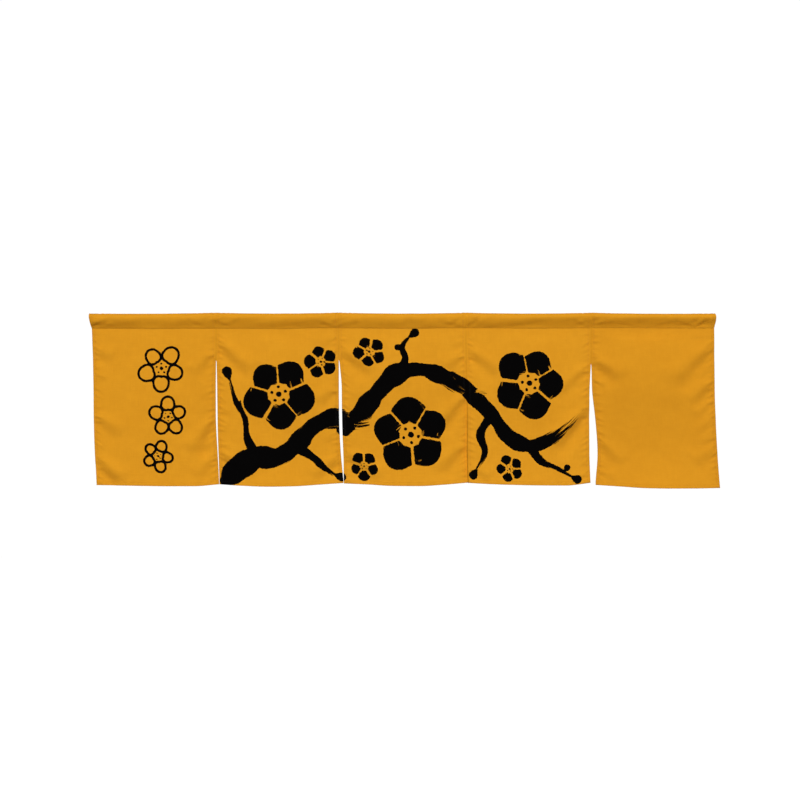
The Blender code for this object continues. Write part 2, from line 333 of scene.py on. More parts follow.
def puckers(fromSide, down, seed):
    # Short ridges that run in from a side hem, where its thread draws the cloth up: bells down the hem at
    # seeded places, each a little aslant and with a hollow below it, times a bell across the hem
    v = panelCloth
    chance = np.random.default_rng(seed)
    places = np.cumsum(chance.uniform(*v["puckerPitch"], v["puckerCount"])) - v["puckerPitch"][0]
    strengths = chance.uniform(*v["puckerStrength"], v["puckerCount"])
    slants = chance.uniform(*v["puckerSlant"], v["puckerCount"])
    hollow, below = v["puckerHollow"]
    total = np.zeros(np.broadcast(fromSide, down).shape)
    for place, strength, slant in zip(places, strengths, slants):
        away = (down - place - slant * fromSide) / v["puckerWidth"]
        total += strength * (np.exp(-away * away) - hollow * np.exp(-((away - below) ** 2)))
    spread = np.where(fromSide > v["sideHem"], v["puckerReach"] / 2, v["puckerOnHem"])
    across = (fromSide - v["sideHem"]) / spread
    return v["puckerDepth"] * total * np.exp(-across * across)


def clothDepth(panel, x, z, share, down):
    # Depth of the middle of the cloth: its hang and belly, its creases, puckers at both hems and faint
    # ripples. The joins hold the creases and puckers down, and the seam holds everything.
    v = panelCloth
    sides = panelSides(panel, z)
    depth = acrossPanel(hangs[panel], share) * eased(down)
    depth = depth + sways[panel] * np.sin(math.pi * share) * np.sin(math.tau * down)
    depth = depth + hang["footCurl"] * np.maximum(down, 0.0) ** hang["footCurlPower"]
    dropped = down * panelHeight[panel]
    swell = puckers(x - sides[0], dropped, v["seed"] + 2 * panel)
    swell = swell + puckers(sides[1] - x, dropped, v["seed"] + 2 * panel + 1)
    for group, gain in ((creases, v["creaseGain"]), (fineCreases, v["fineGain"])):
        for crease in group:
            if crease.panel == panel:
                swell = swell + gain * creaseDepth(crease, x, z, sides)
    for line, distance in ((panel, x - sides[0]), (panel + 1, sides[1] - x)):
        if 0 < line < panelCount:
            sewn = eased((z - uprights[line].top) / hang["joinFade"] + 0.5)
            swell = swell * (1 - sewn * (1 - eased(distance / hang["joinHold"])))
    depth = depth + swell + v["rippleDepth"] * ripple(x, z, v["rippleLength"], v["seed"] + 40)
    return depth * eased(down * hang["seamHold"])


def stitchLines(fromSide, fromFoot):
    # 1 on a line of stitches, fading to 0 beside it
    v = panelCloth
    lines = [(fromSide - place, 1.0) for place in v["sideStitches"]]
    lines += [(fromFoot - place, v["footStitchDepth"]) for place in v["footStitches"]]
    return sum(depth * np.exp(-((line / v["grooveWidth"]) ** 2)) for line, depth in lines)


def edgeShade(distance):
    # Exponential fade with the distance from a folded edge
    strength, reach = panelCloth["edgeShade"]
    return strength * np.exp(-distance / reach)


def sideShade(panel, fromLeft, fromRight, z):
    # Shade along a panel's sides: a folded edge's own where it hangs free, a weaker one where it is sewn to
    # its neighbour, and a deep one, a bell of the distance, where it overlaps that neighbour
    v = panelCloth
    strength, reach = v["contactShade"]
    widest, fall = v["closedGap"]
    total = 0.0
    for line, distance in ((panel, fromLeft), (panel + 1, fromRight)):
        closed = np.zeros_like(distance)
        if 0 < line < panelCount:
            closed = np.clip((widest - slitGap(line, z)) / fall, 0.0, 1.0)
        total = total + edgeShade(distance) * np.maximum(1 - v["sewnShade"] * closed, 0.0)
        total = total + strength * closed ** v["contactPower"] * np.exp(-((distance / reach) ** 2))
    return total


def hemCover(distance, width, softness):
    # 1 over a hem and 0 beside it, with a smooth step at its inner edge
    return eased((width - distance) / softness + 0.5)


def panelPoints(panel, fromLeft, down, face):
    # Points of one face of a panel, from the distance to its left side and the share of its height below the
    # seam, with what its finish needs to know there. The cloth is as thick as its hems make it, its stitches
    # pull it in, and its edges are rounded as a quarter circle.
    v = panelCloth
    height = panelHeight[panel]
    left, right = panelSides(panel, hang["seam"] - down * height)
    share = fromLeft / (right - left)
    x = left + fromLeft
    top = seamHeight(x) - hang["seamGap"]
    z = top + down * (acrossPanel(feet[panel], share) - top)
    fromSide = np.minimum(fromLeft, right - left - fromLeft)
    fromFoot = (1 - down) * height
    fromTop = v["tuck"] + down * height
    stitched = stitchLines(fromSide, fromFoot) * eased(down * height / v["stitchStart"])
    softness = v["hemSoftness"][face]
    sideCover = hemCover(fromSide, v["sideHem"], softness) * eased(down * height / v["hemStart"])
    footCover = hemCover(fromFoot, v["footHem"], softness)
    hem = sideCover + footCover * (1 - v["cornerShare"] * sideCover)
    thick = v["thickness"] / 2 + hem * v["hemRise"][face]
    thick = thick - v["grooveDepth"] * np.minimum(stitched, v["footStitchDepth"]) * np.minimum(hem, 1.0)
    edge = np.minimum(np.minimum(fromSide, fromFoot), fromTop) / v["edgeRound"]
    thick = thick * np.sqrt(1 - (1 - np.clip(edge, 0.0, 1.0)) ** 2)
    depth = clothDepth(panel, x, z, share, down) + face * thick
    points = np.stack([x, -depth, z], axis=-1) * mm
    shade = edgeShade(fromFoot) + sideShade(panel, fromLeft, right - left - fromLeft, z)
    return SimpleNamespace(points=points, share=share, stitched=stitched, shade=shade)


def gridFaces(indices, outward):
    # Quads over a grid of vertex numbers, turned so that they face one way or the other
    a, b = indices[:-1, :-1], indices[:-1, 1:]
    c, d = indices[1:, 1:], indices[1:, :-1]
    corners = (a, d, c, b) if outward else (a, b, c, d)
    return np.stack(corners, axis=-1).reshape(-1, 4)


def meshPiece(name, points, faceSets, attributes, material):
    # A piece whose faces come as arrays of vertex numbers, each array with one number of corners
    mesh = bpy.data.meshes.new(name)
    mesh.vertices.add(len(points))
    mesh.vertices.foreach_set("co", points.astype(np.float32).ravel())
    corners = np.concatenate([faces.ravel() for faces in faceSets])
    counts = np.concatenate([np.full(len(faces), faces.shape[1]) for faces in faceSets])
    mesh.loops.add(len(corners))
    mesh.loops.foreach_set("vertex_index", corners.astype(np.int32))
    mesh.polygons.add(len(counts))
    mesh.polygons.foreach_set("loop_start", (np.cumsum(counts) - counts).astype(np.int32))
    mesh.update(calc_edges=True)
    mesh.validate()
    mesh.shade_smooth()
    for key, values in attributes.items():
        made = mesh.attributes.new(key, "FLOAT_VECTOR", "POINT")
        made.data.foreach_set("vector", values.astype(np.float32).ravel())
    mesh.materials.append(material)
    piece = bpy.data.objects.new(name, mesh)
    bpy.context.scene.collection.objects.link(piece)
    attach(piece, "root")
    return piece


def closedSheet(name, front, back, material):
    # Two grids of one shape that share the points round their rim, so that the sheet is closed
    rows, columns = front["points"].shape[:2]
    first = np.arange(rows * columns).reshape(rows, columns)
    second = first.copy()
    inside = (rows - 2) * (columns - 2)
    second[1:-1, 1:-1] = rows * columns + np.arange(inside).reshape(rows - 2, columns - 2)
    whole = {}
    for key in front:
        there = front[key].reshape(-1, 3)
        whole[key] = np.concatenate([there, back[key][1:-1, 1:-1].reshape(-1, 3)])
    points = whole.pop("points")
    faces = [gridFaces(first, True), gridFaces(second, False)]
    return meshPiece(name, points, faces, whole, material)


# Artwork: plum blossom and its branch in broad black brushwork, in the cloth's own sizes. Across runs on over
# all five panels, and down starts at the seam.
artwork = {
    "pitch": 341.0,  # a panel's width and height
    "drop": 430.0,
    "line": 3.4,  # half the width of the outlines on the first panel
    "halo": 8.0,  # bare cloth left between a blossom and the branch
    "petalGap": 5.5,
    "petalTurn": 0.04,  # how far a petal may turn from its even place
    "petalScale": (0.93, 1.05),
    "petalDryness": 0.8,
    "budLength": 1.5,  # a bud's length and its half width where it starts, as shares of its radius
    "budStart": 0.3,
    "unevenness": 0.13,  # how much a stroke's width varies: a branch's or bud's, a petal's and an outline's
    "petalUnevenness": 0.06,
    "outlineUnevenness": 0.03,
    "wavePitches": (9.0, 17.0, 31.0),
    "dryFrom": 0.35,  # share of a stroke's length from which the brush runs dry
    "sideDryness": 0.75,  # how dry the brush runs along one of its sides, in places
    "sideDryFrom": 0.1,  # share of its half width from which it does
    "sideDryLength": 190.0,
    "far": 60.0,  # further than any point lies inside a stroke
    "margin": 40.0,  # how far past a panel's sides a stroke may start and still be drawn
    "strokeShift": 400.0,  # sets the bristles of one stroke apart from the next one's
    "seed": 5,
    "petalSeed": 20,
    "stamenSeed": 90,
    "budSeed": 95,
}
# Brush strokes: points with half widths, and how dry the brush runs towards the end
branches = [
    SimpleNamespace(dry=1.0, points=(
        (356, 420, 16), (392, 386, 34), (446, 352, 31), (506, 350, 23), (560, 316, 28), (612, 268, 22),
        (668, 250, 25), (724, 262, 19), (776, 252, 9),
    )),
    SimpleNamespace(dry=1.0, points=(
        (690, 282, 15), (738, 228, 28), (788, 166, 22), (838, 122, 26), (900, 112, 19), (960, 134, 23),
        (1018, 172, 17), (1072, 180, 8),
    )),
    SimpleNamespace(dry=1.0, points=(
        (984, 128, 11), (1036, 184, 23), (1092, 240, 19), (1138, 298, 23), (1196, 322, 17), (1252, 304, 18),
        (1304, 266, 11), (1344, 226, 4),
    )),
    SimpleNamespace(dry=0.8, points=(
        (452, 356, 16), (424, 300, 11), (418, 244, 8), (392, 196, 7), (376, 136, 2.5),
    )),
    SimpleNamespace(dry=0.8, points=((560, 322, 15), (606, 356, 12), (632, 384, 8), (664, 410, 3))),
    SimpleNamespace(dry=0.7, points=((838, 124, 15), (860, 84, 10), (852, 50, 7), (874, 18, 2.5))),
    SimpleNamespace(dry=0.8, points=((1090, 240, 14), (1060, 292, 12), (1072, 344, 8), (1046, 396, 3))),
    SimpleNamespace(dry=0.8, points=((1196, 322, 13), (1228, 364, 10), (1270, 382, 7), (1318, 410, 2.5))),
]
blossoms = table(
    "across down radius turn outlined",
    (514, 178, 100, 0.25, False),
    (632, 92, 47, 0.7, False),
    (868, 290, 106, 0.85, False),
    (738, 380, 40, 0.3, False),
    (764, 64, 44, 0.5, False),
    (1196, 150, 100, 0.1, False),
    (1140, 386, 38, 0.6, False),
    (190, 108, 66, 0.3, True),
    (208, 240, 54, 0.9, True),
    (176, 348, 45, 0.1, True),
)
# Buds at the ends of the twigs, each a dab that starts at a point and runs in a direction, in turns
buds = table(
    "across down radius turn",
    (376, 138, 14, 0.70),
    (401, 214, 10, 0.88),
    (660, 406, 12, 0.06),
    (872, 22, 12, 0.90),
    (853, 56, 9, 0.56),
    (1048, 392, 12, 0.34),
    (1312, 407, 12, 0.08),
    (1292, 392, 9, 0.86),
)
# A petal's dab: turn from the petal's middle, reach from the blossom's and half width, for a radius of 1
dab = ((-0.3, 0.58, 0.28), (0.0, 0.67, 0.32), (0.3, 0.58, 0.28))
outlineDab = ((-0.15, 0.57, 0.24), (0.0, 0.68, 0.29), (0.15, 0.57, 0.24))
# Stamens: reach from the blossom's middle and radius of each dot
stamenDots = ((0.0, 0.075), *[(0.2, 0.042)] * 5)


def smoothSpine(points, steps=7):
    # Rows of (across, down, half width) along a Catmull-Rom curve through the points
    rows = np.array(points, float)
    rows = np.concatenate([2 * rows[:1] - rows[1:2], rows, 2 * rows[-1:] - rows[-2:-1]])
    a, b, c, d = (rows[i : len(rows) - 3 + i, None] for i in range(4))
    t = (np.arange(steps) / steps)[None, :, None]
    curve = b + t * (c - a) / 2 + t**2 * (a - 2.5 * b + 2 * c - d / 2) + t**3 * (1.5 * (b - c) + (d - a) / 2)
    return np.concatenate([curve.reshape(-1, 3), rows[-2:-1]])


class InkField:
    # For each point of the cloth: how far it lies inside the nearest brush stroke, how dry the brush is
    # there, and where it lies along and across that stroke
    def __init__(self, across, down):
        self.across, self.down = across, down
        self.inside = np.full(across.shape, -artwork["far"])
        self.flow = np.zeros((*across.shape, 3))

    def addStroke(self, points, dry, number, rough=artwork["unevenness"], limit=artwork["far"]):
        # A tapered capsule along each piece of a smooth spine: its half width less the distance to the spine
        v = artwork
        spine = smoothSpine(points)
        steps = np.hypot(*np.diff(spine[:, :2], axis=0).T)
        run = np.concatenate([[0.0], np.cumsum(steps)])
        chance = np.random.default_rng(v["seed"] + number)
        phases = chance.uniform(0, 6, len(v["wavePitches"]))
        waves = sum(np.sin(run / pitch + phase) for pitch, phase in zip(v["wavePitches"], phases))
        radii = spine[:, 2] * (1 + rough * waves / 2)
        turned = chance.uniform(0, math.tau)
        for i in range(len(steps)):
            stepA, stepD = spine[i + 1, :2] - spine[i, :2]
            awayA, awayD = self.across - spine[i, 0], self.down - spine[i, 1]
            free = (awayA * stepA + awayD * stepD) / steps[i] ** 2
            t = np.clip(free, 0.0, 1.0)
            offA, offD = awayA - t * stepA, awayD - t * stepD
            radius = radii[i] + t * (radii[i + 1] - radii[i])
            inside = np.minimum(radius - np.hypot(offA, offD), limit)
            better = inside > self.inside
            side = (awayD * stepA - awayA * stepD) / steps[i]
            along = run[i] + (t if i < len(steps) - 1 else free) * steps[i]  # bristles run on past the end
            dryness = dry * eased((along / run[-1] - v["dryFrom"]) / (1 - v["dryFrom"]))
            swing = np.sin(math.tau * along / v["sideDryLength"] + turned)
            oneSide = eased((side / radius * np.sign(swing) - v["sideDryFrom"]) / (1 - v["sideDryFrom"]))
            dryness = np.maximum(dryness, v["sideDryness"] * dry * np.abs(swing) * oneSide)
            self.inside = np.where(better, inside, self.inside)
            new = np.stack([side, along + v["strokeShift"] * number, dryness], axis=-1)
            self.flow = np.where(better[..., None], new, self.flow)


def onCircle(blossom, reach, angle):
    # The point at a distance and an angle from a blossom's middle or a bud's start
    return blossom.across + reach * math.cos(angle), blossom.down + reach * math.sin(angle)


def petals(blossom, form):
    # Five broad dabs round a blossom's middle, each a little unlike the others, with the angle of each
    v = artwork
    chance = np.random.default_rng(blossom.across)
    strokes = []
    for i in range(5):
        middle = blossom.turn + math.tau * i / 5 + chance.uniform(-v["petalTurn"], v["petalTurn"])
        scale = blossom.radius * chance.uniform(*v["petalScale"])
        stroke = []
        for turn, reach, width in form:
            stroke.append((*onCircle(blossom, scale * reach, middle + turn), scale * width))
        strokes.append((middle, stroke))
    return strokes


def stamens(blossom):
    # Dots round a blossom's middle and one in it
    strokes = []
    for i, (reach, radius) in enumerate(stamenDots):
        a, d = onCircle(blossom, reach * blossom.radius, blossom.turn + math.tau * (i + 0.5) / 5)
        strokes.append([(a, d, radius * blossom.radius), (a + 0.5, d, radius * blossom.radius)])
    return strokes


def inkOn(panel, share, down):
    # The artwork's fields at points of one panel: (inside, dryness, outline) and the flow of the brush
    v = artwork
    across = (panel + share) * v["pitch"]
    drop = down * v["drop"]
    low, high = panel * v["pitch"] - v["margin"], (panel + 1) * v["pitch"] + v["margin"]
    near = [b for b in blossoms if low < b.across + b.radius and b.across - b.radius < high]
    field, outline = InkField(across, drop), InkField(across, drop)
    for number, branch in enumerate(branches):
        spread = [p[0] for p in branch.points]
        if low < max(spread) and min(spread) < high:
            field.addStroke(branch.points, branch.dry, number)
    for bud in buds:
        if low < bud.across < high:
            tipA, tipD = onCircle(bud, bud.radius * v["budLength"], bud.turn * math.tau)
            stroke = [(bud.across, bud.down, bud.radius * v["budStart"]), (tipA, tipD, bud.radius)]
            field.addStroke(stroke, 0.0, v["budSeed"])
    for blossom in near:
        reach = np.hypot(across - blossom.across, drop - blossom.down) - blossom.radius
        if not blossom.outlined:
            field.inside = np.minimum(field.inside, reach - v["halo"])
    for number, blossom in enumerate(near):
        angle = np.arctan2(drop - blossom.down, across - blossom.across)
        reach = np.hypot(across - blossom.across, drop - blossom.down)
        for i, (middle, stroke) in enumerate(petals(blossom, outlineDab if blossom.outlined else dab)):
            if blossom.outlined:
                outline.addStroke(stroke, 0.0, number, v["outlineUnevenness"])
            else:
                # A petal ends half a gap short of the lines midway to its neighbours
                away = np.abs((angle - middle + math.pi) % math.tau - math.pi)
                limit = reach * np.sin(math.pi / 5 - np.minimum(away, 1.5)) - v["petalGap"] / 2
                seed = v["petalSeed"] + 5 * number + i
                field.addStroke(stroke, v["petalDryness"], seed, v["petalUnevenness"], limit)
        for stroke in stamens(blossom):
            field.addStroke(stroke, 0.0, v["stamenSeed"])
    ink = np.stack([field.inside, field.flow[..., 2], outline.inside], axis=-1)
    return ink, field.flow


def meshLines(near, far, length, cell):
    # Pairs of a fixed distance and a share of what lies between, for lines across a span with its own lines
    # at both ends
    inner = near[-1]
    count = round((length - inner - far[-1]) / cell)
    ends = [(d, 0.0) for d in near]
    middle = [(inner, i / count) for i in range(1, count)]
    return np.array(ends + middle + [(inner + far[-1] - d, 1.0) for d in reversed(far)])


def makePanel(panel, material):
    # Two grids over a panel's width and height, its front and its back
    v = panelCloth
    height = panelHeight[panel]
    columns = meshLines(hemLines, hemLines, artwork["pitch"], v["cell"])
    rows = meshLines(topLines, hemLines, height + v["tuck"], v["cell"])
    between = height + v["tuck"] - topLines[-1] - hemLines[-1]
    down = ((rows[:, 0] + rows[:, 1] * between - v["tuck"]) / height)[:, None]
    left, right = panelSides(panel, hang["seam"] - down * height)
    fromLeft = columns[None, :, 0] + columns[None, :, 1] * (right - left - 2 * hemLines[-1])
    down = np.broadcast_to(down, fromLeft.shape)
    faces = {}
    for face in (1, -1):
        made = panelPoints(panel, fromLeft, down, face)
        if face > 0:
            ink, flow = inkOn(panel, made.share, down)
        across = (panel + made.share) * artwork["pitch"] * mm
        stitched = np.minimum(made.stitched, v["footStitchDepth"])
        faces[face] = {
            "points": made.points,
            "clothPlace": np.stack([across, down * height * mm, np.full_like(across, face)], axis=-1),
            # sewn: stitch lines (darkened partly as painted groove shade), the panel's tone, and painted
            # shade along its edges
            "sewn": np.stack([stitched, np.full_like(stitched, dyes[panel]), made.shade], axis=-1),
            "ink": ink,
            "brushFlow": flow * mm,
        }
    piece = closedSheet(f"clothPanel{panel + 1}", faces[1], faces[-1], material)
    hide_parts(f"panel_{panel + 1}")
    print("panel", panel + 1, "has", len(piece.data.polygons), "faces")
    return piece


# Thread
thread = {
    "radius": 0.22,
    "length": 2.5,
    "pitch": 3.1,
    "tip": 0.2,  # share of a stitch's length in which it thickens or thins
    "sink": 0.28,  # how far each end of a stitch goes into the cloth
    "lift": 0.1,
    "inkEdge": 3.0,  # over this width the thread turns black at the artwork's edge
}
# How far from the start of its line the first stitch starts, and how far from the end the last one does
stitchEnds = {"side": (1.5, 4.0), "foot": (4.0, 6.0), "seam": (2.0, 4.0), "join": (3.5, 6.0)}


def stitchStarts(line, start, end):
    # Even steps along a line of stitches
    first, last = stitchEnds[line]
    return np.arange(start + first, end - last, thread["pitch"])


def stitchMesh(starts, ends, outward):
    # Each stitch is a spindle: two rings of four points between two tips that sink into the cloth
    run = ends - starts
    along = run / np.linalg.norm(run, axis=1, keepdims=True)
    side = np.cross(along, outward)
    radius, sink = thread["radius"] * mm, thread["sink"] * mm
    ring = [outward * radius, side * radius, -outward * radius, -side * radius]
    rows = [starts - outward * sink]
    rows += [starts + run * thread["tip"] + turn for turn in ring]
    rows += [starts + run * (1 - thread["tip"]) + turn for turn in ring]
    rows += [ends - outward * sink]
    points = np.stack(rows, axis=1)
    base = (np.arange(len(starts)) * len(rows))[:, None]
    quads = [(1 + i, 1 + (i + 1) % 4, 5 + (i + 1) % 4, 5 + i) for i in range(4)]
    tips = [(0, 1 + (i + 1) % 4, 1 + i) for i in range(4)] + [(9, 5 + i, 5 + (i + 1) % 4) for i in range(4)]
    quadFaces = (base[:, None] + np.array(quads)).reshape(-1, 4)
    tipFaces = (base[:, None] + np.array(tips)).reshape(-1, 3)
    return points.reshape(-1, 3), quadFaces, tipFaces


def threadPiece(name, runs, material):
    # Runs of stitches as (starts, ends, outward, ink under each) joined into one mesh
    parts, quadSets, tipSets, inks, count = [], [], [], [], 0
    for starts, ends, outward, inked in runs:
        outward = np.broadcast_to(np.array(outward, float), starts.shape)
        lift = outward * thread["lift"] * mm
        points, quads, tips = stitchMesh(starts + lift, ends + lift, outward)
        parts.append(points)
        quadSets.append(quads + count)
        tipSets.append(tips + count)
        inks.append(np.repeat(np.broadcast_to(inked, len(starts)), len(points) // len(starts)))
        count += len(points)
    inks = np.concatenate(inks)
    attributes = {"inked": np.stack([inks, inks, inks], axis=-1)}
    return meshPiece(name, np.concatenate(parts), quadSets + tipSets, attributes, material)


def inkedStitches(panel, made, down):
    # 1 where the artwork covers a stitch, 0 elsewhere
    ink, _ = inkOn(panel, made.share, down)
    return eased(ink[..., 0] / thread["inkEdge"] + 0.5)


def panelStitching(panel, material):
    # Stitches down both side hems and along the foot hem, in front and behind
    v = panelCloth
    height = panelHeight[panel]
    runs = []
    for face in (1, -1):
        outward = (0.0, -face, 0.0)
        downs = stitchStarts("side", 0.0, height) / height
        nexts = downs + thread["length"] / height
        for place in v["sideStitches"]:
            for fromRight in (False, True):
                ends = []
                for down in (downs, nexts):
                    left, right = panelSides(panel, hang["seam"] - down * height)
                    fromLeft = right - left - place if fromRight else np.full_like(down, place)
                    ends.append(panelPoints(panel, fromLeft, down, face))
                runs.append((ends[0].points, ends[1].points, outward, inkedStitches(panel, ends[0], downs)))
        left, right = panelSides(panel, feet[panel][0])
        across = stitchStarts("foot", 0.0, right - left)
        for place in v["footStitches"]:
            down = np.full_like(across, 1 - place / height)
            starts = panelPoints(panel, across, down, face)
            ends = panelPoints(panel, across + thread["length"], down, face)
            runs.append((starts.points, ends.points, outward, inkedStitches(panel, starts, down)))
    return threadPiece(f"hemStitching{panel + 1}", runs, material)


# Rod pocket: one sheet folded over the rod space, its two edges sewn down with the panels' tops between them
pocketCloth = {
    "thickness": 0.8,
    "foot": 1.35,  # from the middle of the cloth between the pocket's two edges to the outside of either
    "cell": 3.4,
    "rowCell": 2.1,
    "sectionSteps": 1200,
    "edgeRound": 0.4,
    "flareReach": 23.5,  # length of pocket that leans outwards at either end
    "leanFull": 0.6,  # height at which the right end leans fully, as a share of the pocket's
    "leanBack": 0.35,  # how much of that lean it loses at its top, and the height where that starts
    "leanBackFrom": 0.82,
    "joinRise": 0.22,  # how far the cloth beside a join stands out, where it is double
    "joinGroove": 0.55,
    "joinHalfWidth": 0.9,
    "joinsFrom": 60.0,  # no join lies nearer to either end
    "stitchUp": 1.8,  # height of the closing stitches above the pocket's edge
    "stitchGroove": 0.2,
    "seamGrooveWidth": 0.8,
    "seamHold": 9.0,  # distance from its edge over which the seam holds the cloth flat
    "crumpleAt": (24.0, 34.0),  # where the cloth beside a join is most crumpled, and over what spread
    "seed": 77,
}
# Ripples on the pocket's faces or top: their depth and how much more it is beside a join, the level they
# swing about, their length, and how much shorter they are up and down
pocketRipples = table(
    "where depth besideJoins level length squeeze",
    ("faces", 0.9, 0.0, -0.25, 95.0, 2.0),
    ("faces", 0.15, 0.75, 0.0, 30.0, 1.6),
    ("top", 0.0, 0.4, 0.0, 11.0, 0.6),
    ("top", 0.18, 0.0, 0.0, 60.0, 0.3),
)
# Distances from a join, and from the pocket's edge along its section, at which the mesh has lines
joinColumns = (0.4, 1.0, 1.8, 3.2, 4.8, 6.2, 6.8, 7.4, 8.3, 9.0, 9.6, 10.2, 11.2, 13.0)
legRows = (0.0, 0.08, 0.22, 0.4, 0.9, 1.4, 1.8, 2.3, 3.1, 4.3)
# Folds in the front of the pocket: middle, half length, half width, lean from level in degrees, and step
pocketFolds = table(
    "x z reach width lean step",
    (-838, -27, 20, 5.0, 34, 1.5),
    (-806, -31, 26, 5.0, -9, 0.8),
    (-560, -27, 26, 5.0, -24, 1.2),
    (-528, -22, 16, 4.0, 30, 0.9),
    (-494, -27, 22, 5.0, -20, 1.2),
    (-390, -29, 26, 5.0, 8, 0.4),
    (-214, -27, 26, 5.0, -22, 1.2),
    (-160, -26, 24, 5.0, 26, 1.2),
    (-60, -30, 28, 5.0, -8, 0.4),
    (128, -27, 26, 5.0, -18, 1.1),
    (186, -26, 22, 5.0, 24, 1.3),
    (300, -30, 26, 5.0, 8, 0.5),
    (486, -27, 18, 4.5, -28, 1.2),
    (534, -27, 26, 5.0, 14, 1.5),
    (612, -30, 26, 5.0, -12, 0.9),
    (706, -28, 24, 5.0, 14, 0.8),
    (776, -30, 24, 5.0, -16, 1.2),
    (812, -26, 18, 4.5, 36, 1.7),
)


def topLift(x):
    # How far the top edge is pulled up: cubes of the nearness to the joins on either side
    lines = np.array([row.seam for row in uprights])
    lifts = np.array([row.lift for row in uprights])
    i = np.clip(np.searchsorted(lines, x, side="right") - 1, 0, panelCount - 1)
    share = np.clip((x - lines[i]) / (lines[i + 1] - lines[i]), 0.0, 1.0)
    return lifts[i] * (1 - share) ** 3 + lifts[i + 1] * share**3


def nearestJoin(x):
    # Distance to the nearest join of two panels, or to either end of the pocket
    return np.min([np.abs(x - row.seam) for row in uprights], axis=0)


def pocketSection(x, turn):
    # Teardrop. Turn runs from 0 at the front edge, over the top at a quarter circle, to half a circle at the
    # back edge. The height goes with the square of its sine, and the depth with its cosine times a power of
    # its sine.
    v = pocketCloth
    taper = alongPocket("taper", x)
    seam = seamHeight(x)
    rise = topLift(x) - v["thickness"] / 2 - seam
    foot = v["foot"] - v["thickness"] / 2
    sine, cosine = np.sin(turn), np.cos(turn)
    fullest = (taper + 1) / (taper + 2)
    wide = alongPocket("reach", x) / (fullest ** ((taper + 1) / 2) * np.sqrt(1 - fullest))
    depth = (wide * sine ** (taper + 1) + foot) * cosine
    z = seam + rise * sine**2
    slopeDepth = wide * ((taper + 1) * sine**taper * cosine**2 - sine ** (taper + 2)) - foot * sine
    slopeZ = 2 * rise * sine * cosine
    size = np.maximum(np.hypot(slopeDepth, slopeZ), 1e-6)
    return SimpleNamespace(depth=depth, z=z, outDepth=slopeZ / size, outZ=-slopeDepth / size)


def sectionTurns():
    # Distance from the front edge along the section, for even steps of its turn
    turns = np.linspace(0.0, math.pi, pocketCloth["sectionSteps"] + 1)
    s = pocketSection(np.zeros_like(turns), turns)
    run = np.concatenate([[0.0], np.cumsum(np.hypot(np.diff(s.depth), np.diff(s.z)))])
    return run, turns


def pocketRelief(x, turn, z):
    # How far the pocket's cloth stands off its smooth section: ripples on its faces and its top, and folds,
    # each the height above a leaning line times a bell of it
    v = pocketCloth
    at, spread = v["crumpleAt"]
    beside = np.exp(-(((nearestJoin(x) - at) / spread) ** 2))
    shares = {"faces": np.sin(2 * turn) ** 2, "top": eased((np.sin(turn) ** 2 - 0.6) / 0.4)}
    relief = 0.0
    for i, row in enumerate(pocketRipples):
        wave = ripple(x, z * row.squeeze, row.length, v["seed"] + i) + row.level
        relief = relief + (row.depth + row.besideJoins * beside) * wave * shares[row.where]
    for fold in pocketFolds:
        lean = math.radians(fold.lean)
        along = ((x - fold.x) * math.cos(lean) + (z - fold.z) * math.sin(lean)) / fold.reach
        above = ((z - fold.z) * math.cos(lean) - (x - fold.x) * math.sin(lean)) / fold.width
        swell = np.exp(-along * along) * above * np.exp(0.5 - above * above / 2)
        relief = relief + fold.step / 2 * swell * (turn < math.pi / 2)
    return relief


def pocketPoints(x, run, face):
    # Points of the pocket's outside (face 1) or inside (face -1), from the place along it and the distance
    # round its section from the front edge. Both ends lean outwards: the left one with the sine of its
    # height, the right one by a smooth step that turns back near the top.
    v = pocketCloth
    turn = np.interp(run, sectionRun, sectionTurn)
    s = pocketSection(x, turn)
    fromEdge = np.minimum(run, sectionRun[-1] - run)
    fromEnd = np.minimum(x - uprights[0].seam, uprights[-1].seam - x)
    join = nearestJoin(x)
    atJoin = np.where(fromEnd > v["joinsFrom"], join, v["joinsFrom"])
    doubled = hemCover(join, panelCloth["sideHem"], panelCloth["hemSoftness"][1])
    seams = np.exp(-((atJoin / v["joinHalfWidth"]) ** 2))
    width = panelCloth["grooveWidth"]
    stitched = sum(np.exp(-(((join - place) / width) ** 2)) for place in panelCloth["sideStitches"])
    stitched = stitched + np.exp(-(((fromEdge - v["stitchUp"]) / v["seamGrooveWidth"]) ** 2))
    thick = v["thickness"] / 2 * face
    if face > 0:
        thick = thick + v["joinRise"] * doubled - v["joinGroove"] * seams
        thick = thick - v["stitchGroove"] * np.minimum(stitched, 1.0)
    edge = np.minimum(np.minimum(fromEdge, fromEnd) / v["edgeRound"], 1.0)
    off = thick * np.sqrt(1 - (1 - edge) ** 2) + pocketRelief(x, turn, s.z) * eased(fromEdge / v["seamHold"])
    depth = s.depth + off * s.outDepth
    z = s.z + off * s.outZ
    high = np.clip(1 - z / hang["seam"], 0.0, 1.0)
    nearLeft = np.clip(1 - (x - uprights[0].seam) / v["flareReach"], 0.0, 1.0)
    nearRight = np.clip(1 - (uprights[-1].seam - x) / v["flareReach"], 0.0, 1.0)
    leftLean = uprights[0].flare * nearLeft * np.sin(math.pi / 2 * high)
    back = v["leanBack"] * eased((high - v["leanBackFrom"]) / (1 - v["leanBackFrom"]))
    rightLean = uprights[-1].flare * nearRight * eased(high / v["leanFull"]) * (1 - back)
    points = np.stack([x + rightLean - leftLean, -depth, z], axis=-1) * mm
    # Painted shade along the pocket's edges and ends
    shade = edgeShade(np.minimum(fromEdge, fromEnd))
    return points, np.stack([np.minimum(stitched + seams, 1.0), np.zeros_like(shade), shade], axis=-1)


